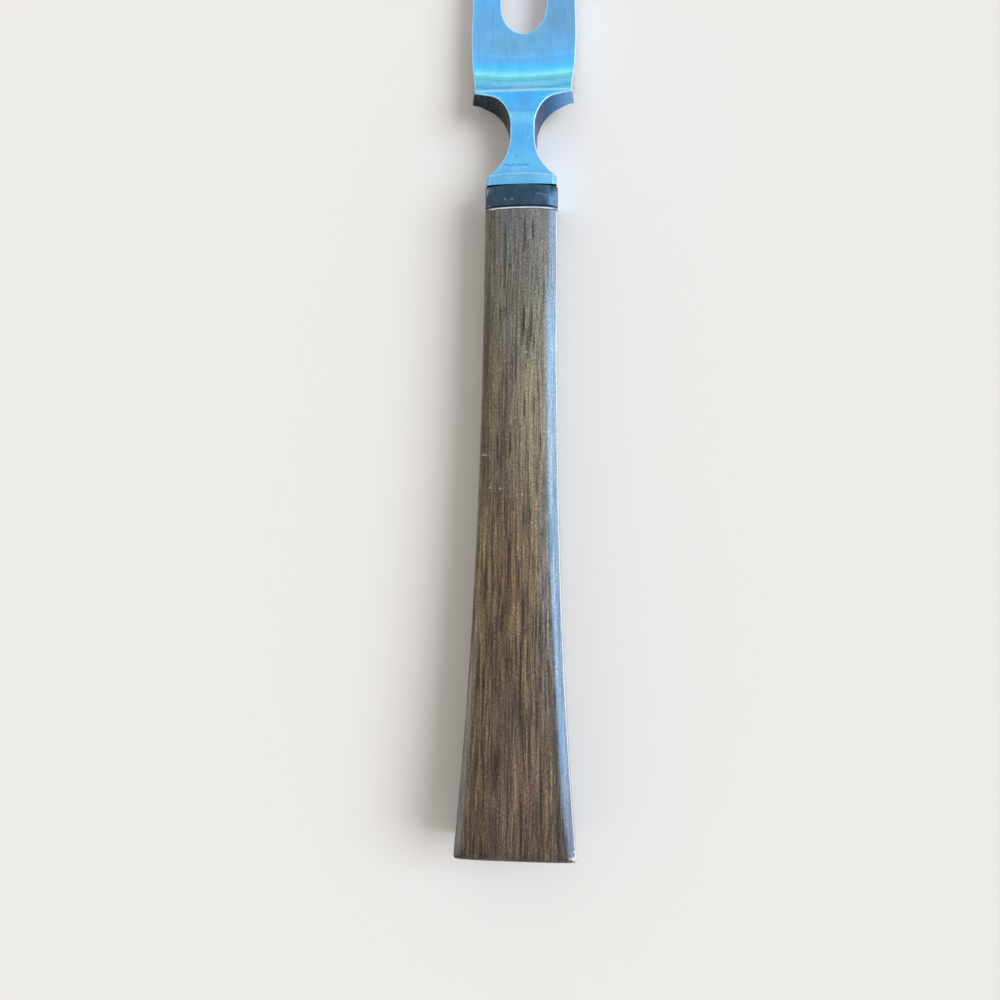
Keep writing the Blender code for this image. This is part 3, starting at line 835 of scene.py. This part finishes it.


# %% [markdown]
# ## Steel
# The head was forged, ground and polished by hand, and it has been used. Its top is bright with fine
# lengthwise scratches, dulled patches and one pit. The hollow before the tines keeps the grinder's
# lines, which bow the way the wheel went round, and its lighter and darker bands are partly painted
# reflection. The notch walls carry painted reflections: the left one near black, the right one blue.
# Every edge, the ridge and the flange's sides carry a painted highlight, a matt pale blue line. Steel
# mirrors what is round it, so most of its colour comes from the lights; the nodes break that mirror up
# and paint these reflections in.

# %% Steel: the polished top
def polished_colour(place, brushed, on_top):
    across, along, _ = split(place)
    cloud = noise(place, (420, 190, 420), 4.0, 0.6)
    colour = ramp(cloud, ((0.3, (0.57, 0.59, 0.61)), (0.55, (0.63, 0.645, 0.66)), (0.75, (0.67, 0.68, 0.69))))
    colour = tint(colour, ramp(brushed, ((0.3, (0.86, 0.89, 0.93)), (0.5, 1.0), (0.72, (1.06, 1.05, 1.03)))))
    dulled = times(spot(place, (-0.0012, 0.0358, tine_top), (0.01, 0.005, 0.01)),
                   spread(noise(place, (330, 500, 330), 3.0, 0.6), 0.35, 0.6, 0.5, 1.6))
    colour = tint(colour, (1.12, 0.93, 0.82), times(dulled, on_top))
    right_dull = times(spread(across, 0.001, 0.006), spread(along, 0.035, 0.0405),
                       spread(along, 0.06, 0.05))
    colour = tint(colour, (1.05, 0.87, 0.81), times(right_dull, on_top))
    grit = spread(noise(place, 4300, 1.0), 0.62, 0.7)
    colour = tint(colour, (0.6, 0.7, 0.85), times(grit, spread(across, 0.004, -0.006, 0.35, 1.0)))
    return colour, dulled, cloud


# %% Steel: grinding lines, painted reflection bands and marks
def marked_colour(place, colour):
    across, along, _ = split(place)
    drift = noise(place, (260, 120, 260), 2.0)
    across_squared = times(across, across)
    bowed = maths("SUBTRACT", swayed(along, drift, 0.00012),
                  times(across_squared, cove_bow / (shoulder_width / 2) ** 2))
    # Bands across the hollow, bowed like the grinder's lines: partly the grinder's own marks, partly painted
    # reflection bands that stand for light mirrored in its curve.
    colour = tint(colour, ramp(spread(bowed, ridge_y, ridge_y + 0.01), (
        (0.0, 1.0), (0.01, (0.7, 0.82, 0.95)), (0.055, (0.62, 0.76, 0.92)),
        (0.105, (0.86, 0.92, 0.97)), (0.15, (1.02, 1.0, 1.0)), (0.21, (1.16, 1.1, 1.05)),
        (0.27, (1.12, 1.06, 1.02)), (0.296, (0.84, 0.9, 0.95)), (0.315, (1.06, 1.02, 1.0)),
        (0.355, (0.92, 0.92, 0.94)), (0.39, (0.72, 0.78, 0.86)), (0.415, 0.95),
        (0.47, (1.12, 1.04, 0.97)), (0.56, 1.0), (0.77, 1.0), (0.81, (0.94, 1.1, 1.11)),
        (0.845, (0.78, 0.96, 1.1)), (0.88, (1.02, 1.04, 1.12)), (0.94, (1.1, 1.06, 1.09)),
        (1.0, (1.08, 1.0, 1.0)),
    )))
    colour = tint(colour, ramp(spread(swayed(along, drift, 0.0006), 0.002, 0.024), (
        (0.05, 1.0), (0.16, (1.08, 1.15, 1.06)), (0.26, (1.06, 1.12, 1.05)), (0.34, (0.98, 1.0, 1.0)),
        (0.58, 1.0), (0.66, (1.28, 1.26, 1.08)), (0.72, (1.24, 1.22, 1.06)), (0.75, (0.84, 0.89, 0.95)),
        (0.79, (0.92, 0.96, 0.98)), (0.85, (0.8, 0.84, 0.95)), (0.93, (0.84, 0.88, 0.95)),
        (0.97, (1.1, 1.05, 1.0)), (1.0, 1.0),
    )))
    pit = away_from(place, (-0.0011, 0.0077, 0.0092), (0.00042, 0.00042, 0.004))
    stained = spread(away_from(place, (-0.0012, 0.0056, 0.0095), (0.003, 0.002, 0.004)), 1.0, 0.75)
    crooked = swayed(along, noise(place, (950, 0, 0), 2.0, 0.6), 0.0007)
    cracked = swayed(along, noise(place, (420, 0, 0), 3.0, 0.6), 0.0016)
    root = maths("ADD", along, times(across_squared, flange_bow_rate))
    for shade, where in (
        ((0.92, 1.0, 1.04), spot(place, (0.0105, 0.0345, tine_top), (0.0055, 0.0065, 0.01))),
        ((0.45, 0.6, 0.8), times(line(pit, 0.8, 0.4), 0.8)),
        ((0.55, 0.52, 0.72), times(stained, line(crooked, 0.0057, 0.00022))),
        ((1.45, 1.25, 1.05), times(stained, line(crooked, 0.0052, 0.0002))),
        ((0.58, 0.58, 0.76), times(stained, line(cracked, 0.0053, 0.00018))),
        ((0.6, 0.72, 0.82), spot(place, (-0.0037, 0.0024, 0.0112), (0.0007, 0.0004, 0.002))),
        # painted shade: a dark line where the neck meets the flange
        ((0.66, 0.8, 0.92), times(line(root, neck_start + 0.00055, 0.0003), 0.8)),
    ):
        colour = tint(colour, shade, where)
    return colour


# %% Steel: painted reflections on the notch walls, painted edge highlights
def steel_finish():
    finish, shader, place = new_finish("polished_steel")
    across, along, _ = split(place)
    brushed = noise(place, (8000, 130, 8000), 3.0, 0.6)
    facing_right, _, facing_up = split(facing(finish))
    on_top = spread(facing_up, 0.7, 0.9)
    colour, dulled, cloud = polished_colour(place, brushed, on_top)
    colour = marked_colour(place, colour)
    on_flange = times(on_top, spread(along, neck_start + 0.0001, neck_start - 0.0001))
    colour = tint(colour, (1.3, 1.01, 0.88), on_flange)
    colour = tint(colour, (1.2, 1.18, 1.12), times(on_flange, spread(across, 0.002, 0.005)))
    colour = tint(colour, (0.84, 1.05, 1.08), times(on_top, line(along, 0.013, 0.015)))
    # The notch walls get painted reflections: near black on the left, standing for mirrored shade, and blue on
    # the right, standing for the mirrored blue window, both mottled by one noise.
    wall = times(spread(maths("ABSOLUTE", facing_up), 0.5, 0.25),
                 spread(along, 0.006, 0.0095), spread(along, ridge_y + 0.0002, ridge_y - 0.0004))
    wall_mottle = noise(place, 2400, 2.0, 0.6)
    painted_dark_reflection = ramp(wall_mottle, (
        (0.35, (0.012, 0.018, 0.024)), (0.55, (0.04, 0.056, 0.07)), (0.7, (0.12, 0.14, 0.16))))
    colour = blend(times(wall, spread(across, 0.0004, -0.0004)), colour, painted_dark_reflection)
    painted_blue_reflection = ramp(spread(across, 0.002, 0.011), (
        (0.0, (0.06, 0.09, 0.13)), (0.35, (0.055, 0.13, 0.26)), (0.7, (0.14, 0.33, 0.63)),
        (1.0, (0.26, 0.51, 0.85))))
    mottled_blue_reflection = tint(painted_blue_reflection, ramp(wall_mottle, ((0.35, (0.7, 0.72, 0.76)), (0.65, (1.2, 1.16, 1.12)))))
    colour = blend(times(wall, spread(across, -0.0004, 0.0004)), colour, mottled_blue_reflection)
    # Painted highlights: the rounded edges, the ridge and the flange's sides, where seen from above, get a matt
    # pale blue line that stands for mirrored light, and lose their metal.
    seen_above = spread(facing_up, 0.2, 0.35)
    marked = add_node("Attribute", tree=finish.node_tree, attribute_name="painted_edge_highlight").outputs["Fac"]
    edge = times(marked, seen_above, 0.85)
    ridge = times(line(along, ridge_y - 0.0002, 0.0002), spread(facing_up, 0.5, 0.8), 0.6)
    corner = times(spread(maths("ABSOLUTE", facing_right), 0.22, 0.28), seen_above,
                   spread(along, neck_start + 0.0003, neck_start))
    for painted_line, shade in ((corner, (0.2, 0.48, 0.76)), (edge, (0.36, 0.64, 0.88)), (ridge, (0.26, 0.58, 0.9))):
        colour = blend(painted_line, colour, shade)
    highlight_mask = most(edge, ridge, corner)
    rough = maths("ADD", spread(brushed, 0.2, 0.8, 0.08, 0.16), times(dulled, 0.1))
    rough = most(rough, times(most(wall, highlight_mask), 0.36))
    height = maths("ADD", brushed, times(cloud, 3.0))
    plug(shader, {
        "Base Color": colour, "Metallic": spread(highlight_mask, 0.0, 1.0, 1.0, 0.0), "Specular IOR Level": 0.0,
        "Roughness": rough, "Normal": bumpy(height, 0.25, 0.00002)})
    print("steel:", len(finish.node_tree.nodes), "nodes")
    return finish


# %% [markdown]
# ## Black band, pale washer and resin
# The band is a hard, glossy plastic, dulled by years of washing up, with a scratch and two pale specks.
# The washer is fibre, bright along its back, dark in front and darker at both ends. The resin round the
# tang is never seen, but it has its own finish too. Plain colours would do for parts so small, were it
# not that gloss shows every speck: a little cloud in the roughness makes a surface look handled.

# %% Black band
def cloudy_colour(place, per_metre, detail, dark, light):
    """A colour that drifts between two shades, and the pattern that it follows."""
    cloud = noise(place, per_metre, detail)
    return ramp(cloud, ((0.35, dark), (0.7, light))), cloud


def black_finish():
    finish, shader, place = new_finish("worn_black_gloss")
    across, along, _ = split(place)
    colour, cloud = cloudy_colour(place, (700, 500, 700), 3.0, (0.016, 0.032, 0.052), (0.029, 0.055, 0.086))
    dust = spread(noise(place, 3800, 2.0, 0.6), 0.66, 0.74)
    colour = blend(times(dust, 0.35), colour, (0.1, 0.12, 0.15))
    for centre in ((-0.0034, -0.0031, 0.0118), (-0.0019, -0.0031, 0.0119)):
        colour = blend(spot(place, centre, (0.00017, 0.00017, 0.001)), colour, (0.6, 0.66, 0.72))
    scratch = maths("ADD", along, times(across, 0.17))
    scratched = times(line(scratch, -0.00125, 0.00012), spread(across, 0.003, 0.0036),
                      spread(across, 0.0058, 0.0052))
    colour = blend(times(scratched, 0.6), colour, (0.22, 0.3, 0.42))
    plug(shader, {"Base Color": colour, "Roughness": spread(cloud, 0.3, 0.7, 0.2, 0.32)})
    return finish


# %% Pale washer and resin
def washer_finish():
    finish, shader, place = new_finish("pale_fibre")
    colour, _ = cloudy_colour(place, 900, 2.0, (0.56, 0.6, 0.64), (0.74, 0.77, 0.8))
    across, along, _ = split(place)
    front = spread(along, liner_low.y + 0.0002, liner_low.y + 0.00028)
    colour = blend(front, colour, (0.02, 0.032, 0.046))
    # darker towards both ends
    colour = blend(spread(maths("ABSOLUTE", across), 0.006, 0.007), colour, (0.12, 0.1, 0.08))
    plug(shader, {"Base Color": colour, "Roughness": 0.4})
    return finish


def resin_finish():
    finish, shader, place = new_finish("set_resin")
    colour, _ = cloudy_colour(place, 500, 3.0, (0.36, 0.3, 0.2), (0.48, 0.42, 0.31))
    plug(shader, {"Base Color": colour, "Roughness": 0.5})
    return finish


# %% [markdown]
# ## Dressing the frame
# Each new piece gets its finish, rides on the fork's only body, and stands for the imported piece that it
# hides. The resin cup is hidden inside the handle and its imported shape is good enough, so it only gets a
# material.

# %% Dress the pieces
dressing = (
    (walnut_grip, walnut_finish(), "wood_handle", "walnut"),
    (black_band, black_finish(), "black_collar", "black_plastic"),
    (pale_washer, washer_finish(), "pale_liner", "pale_fibre"),
    (forged_head, steel_finish(), "fork_head", "stainless_steel"),
)
for piece, finish, node, slot in dressing:
    piece.data.materials.append(finish)
    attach(piece, "root")
    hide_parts(node)
    print(piece.name, "stands for", node)
cement_cup = frame["nodes"]["tang_cement"]
cement_cup.data.materials.clear()
cement_cup.data.materials.append(resin_finish())

# %% [markdown]
# ## The floor
# A plain pale sheet, matt all over, so that it takes the fork's soft shadow and mirrors no lights.

# %% Floor
floor_side = 12.0
floor_mesh = bmesh.new()
bmesh.ops.create_grid(floor_mesh, x_segments=1, y_segments=1, size=floor_side / 2)
floor_data = bpy.data.meshes.new("pale_floor")
floor_mesh.to_mesh(floor_data)
floor_mesh.free()
pale_floor = put_in_scene("pale_floor", floor_data)
floor_finish, floor_shader, _ = new_finish("pale_floor")
plug(floor_shader, {"Base Color": (0.72, 0.7, 0.68, 1.0), "Roughness": 0.9, "Specular IOR Level": 0.0})
floor_data.materials.append(floor_finish)
print(f"floor {floor_side:.0f} m square")

# %% [markdown]
# ## Light
# Two jobs need two kinds of light. Matt wood and the floor want one broad soft light from the right: a
# very wide sun, which no reflection shows. Gloss wants bright shapes to mirror: a tall blue window down
# the right side, a white strip at the horizon that draws the outer edge, and a weaker pair on the left.
# In a studio these are cards that hardly light anything, so here they are soft boxes that only
# reflections can see.

# %% Lights
box_distance = 1.2
fill_strength, fill_colour, fill_width = 2.65, (0.86, 0.93, 1.0), math.radians(40)


def towards_light(azimuth, elevation):
    """Direction from the fork. Azimuth 0 is over the tines, 90 to the right."""
    turn, lift = math.radians(azimuth), math.radians(elevation)
    return Vector((math.sin(turn) * math.cos(lift), math.cos(turn) * math.cos(lift), math.sin(lift)))


def soft_box(name, azimuth, elevation, size, power, colour):
    """A bright card for gloss to mirror, which lights nothing else."""
    towards = towards_light(azimuth, elevation)
    lamp = bpy.data.lights.new(name, "AREA")
    lamp.shape = "RECTANGLE"
    lamp.size, lamp.size_y = size
    lamp.energy, lamp.color = power, colour
    box = put_in_scene(name, lamp)
    box.location = towards * box_distance
    box.rotation_euler = towards.to_track_quat("Z", "Y").to_euler()
    box.visible_diffuse = False
    print(f"{name}: {power / (math.pi * size[0] * size[1]):.1f} W per square metre and steradian")


soft_box("right_front_window", 54, 28, (0.5, 1.0), 11.5, (0.2, 0.52, 1.0))
soft_box("right_window", 86, 31, (0.74, 1.18), 24.7, (0.22, 0.56, 1.0))
soft_box("right_window_top", 86, 59.5, (0.86, 0.24), 8.4, (0.16, 0.53, 1.0))
soft_box("right_back_window", 120, 27, (0.56, 1.0), 11.3, (0.42, 0.6, 1.0))
soft_box("right_horizon", 80, 5, (1.4, 0.2), 9.5, (0.9, 0.96, 1.0))
soft_box("left_window", -113, 26, (0.7, 0.92), 4.2, (0.7, 0.86, 1.0))
soft_box("left_horizon", -47, 7, (0.36, 0.18), 2.2, (0.92, 0.96, 1.0))

broad_light = bpy.data.lights.new("right_fill", "SUN")
broad_light.energy, broad_light.color, broad_light.angle = fill_strength, fill_colour, fill_width
right_fill = put_in_scene("right_fill", broad_light)
right_fill.rotation_euler = towards_light(82, 44).to_track_quat("Z", "Y").to_euler()
right_fill.visible_glossy = False

# %% [markdown]
# ## The air round the fork
# Polished steel shows the sky that it faces. The world is painted as two ramps over height: a clear blue
# one beyond the tines, with the bands that the hollow before them spreads out, and a pale grey one
# behind the handle. Matt surfaces would take a blue cast from it, so they get an even neutral air, and
# the camera itself sees a plain grey one.

# %% World
world = bpy.data.worlds.new("studio_air")
bpy.context.scene.world = world
world.use_nodes = True
air = world.node_tree
direction = add_node("TexCoord", tree=air).outputs["Generated"]
air_across, air_along, air_up = split(direction)
air_strength = 1.7


def air_ramp(stops):
    return ramp(air_up, [(at, tuple(v / air_strength for v in colour)) for at, colour in stops])


front_air = air_ramp((
    (0.0, (0.2, 0.66, 1.12)), (0.15, (0.3, 0.92, 1.28)), (0.29, (0.2, 0.76, 1.1)),
    (0.35, (0.26, 0.95, 1.16)), (0.42, (0.44, 1.34, 1.44)), (0.49, (0.37, 1.28, 1.5)),
    (0.56, (0.24, 1.05, 1.52)), (0.64, (0.16, 0.9, 1.5)), (0.74, (0.17, 0.86, 1.54)),
    (0.765, (0.23, 0.64, 1.2)), (0.785, (0.27, 0.7, 1.19)), (0.802, (0.28, 0.74, 1.22)),
    (0.815, (0.17, 0.75, 1.46)), (0.87, (0.17, 0.77, 1.5)), (0.885, (0.22, 0.7, 1.22)),
    (0.895, (0.2, 0.27, 0.36)), (0.91, (0.22, 0.22, 0.23)), (1.0, (0.24, 0.24, 0.24)),
))
back_air = air_ramp((
    (0.0, (0.6, 0.57, 0.54)), (0.6, (0.5, 0.48, 0.46)), (0.875, (0.42, 0.405, 0.39)),
    (0.905, (0.34, 0.335, 0.33)), (1.0, (0.24, 0.24, 0.24)),
))
wider_over_steel = spread(air_along, 0.45, 0.472, 0.0, 0.33)
off_side = maths("SUBTRACT", maths("ABSOLUTE", air_across), wider_over_steel)
ahead = times(spread(air_along, 0.02, 0.36), spread(off_side, 0.3, 0.18))
mirrored_air = blend(ahead, back_air, front_air)
matt_air = (0.4, 0.38, 0.36)
seen_air = (0.49, 0.49, 0.49)
rays = add_node("LightPath", tree=air).outputs
plain_air = blend(rays["Is Diffuse Ray"], mirrored_air, matt_air)
all_air = blend(rays["Is Camera Ray"], plain_air, seen_air)
plug(air.nodes["Background"], {"Color": all_air, "Strength": air_strength})
bpy.context.scene.view_settings.view_transform = "Standard"
print("air:", len(air.nodes), "nodes")

# %% [markdown]
# ## Camera
# The picture was taken from above, near the middle of the handle, with the fork not quite square to the
# frame. Place, aim and roll were found by laying the butt, the collar and the shoulder over each other.

# %% Camera
camera_place = Vector((0.00629, -0.08078, 0.16168))
camera_aim = Vector((-0.00368, -0.06632, 0.012))
camera_roll = math.radians(0.677)
focal_share_of_width = 0.75
camera_data = bpy.data.cameras.new("overhead_view")
camera_data.sensor_width = 36.0
camera_data.lens = focal_share_of_width * camera_data.sensor_width
camera_data.clip_start = 0.01
overhead_view = put_in_scene("overhead_view", camera_data)
overhead_view.location = camera_place
forward = (camera_aim - camera_place).normalized()
sideways = forward.cross(Vector((0.0, 1.0, 0.0))).normalized()
aiming = Matrix((sideways, sideways.cross(forward), -forward)).transposed()
overhead_view.rotation_euler = (aiming @ Matrix.Rotation(camera_roll, 3, "Z")).to_euler()
bpy.context.scene.camera = overhead_view
print(f"camera {1000 * (camera_place - camera_aim).length:.0f} mm from what it looks at")
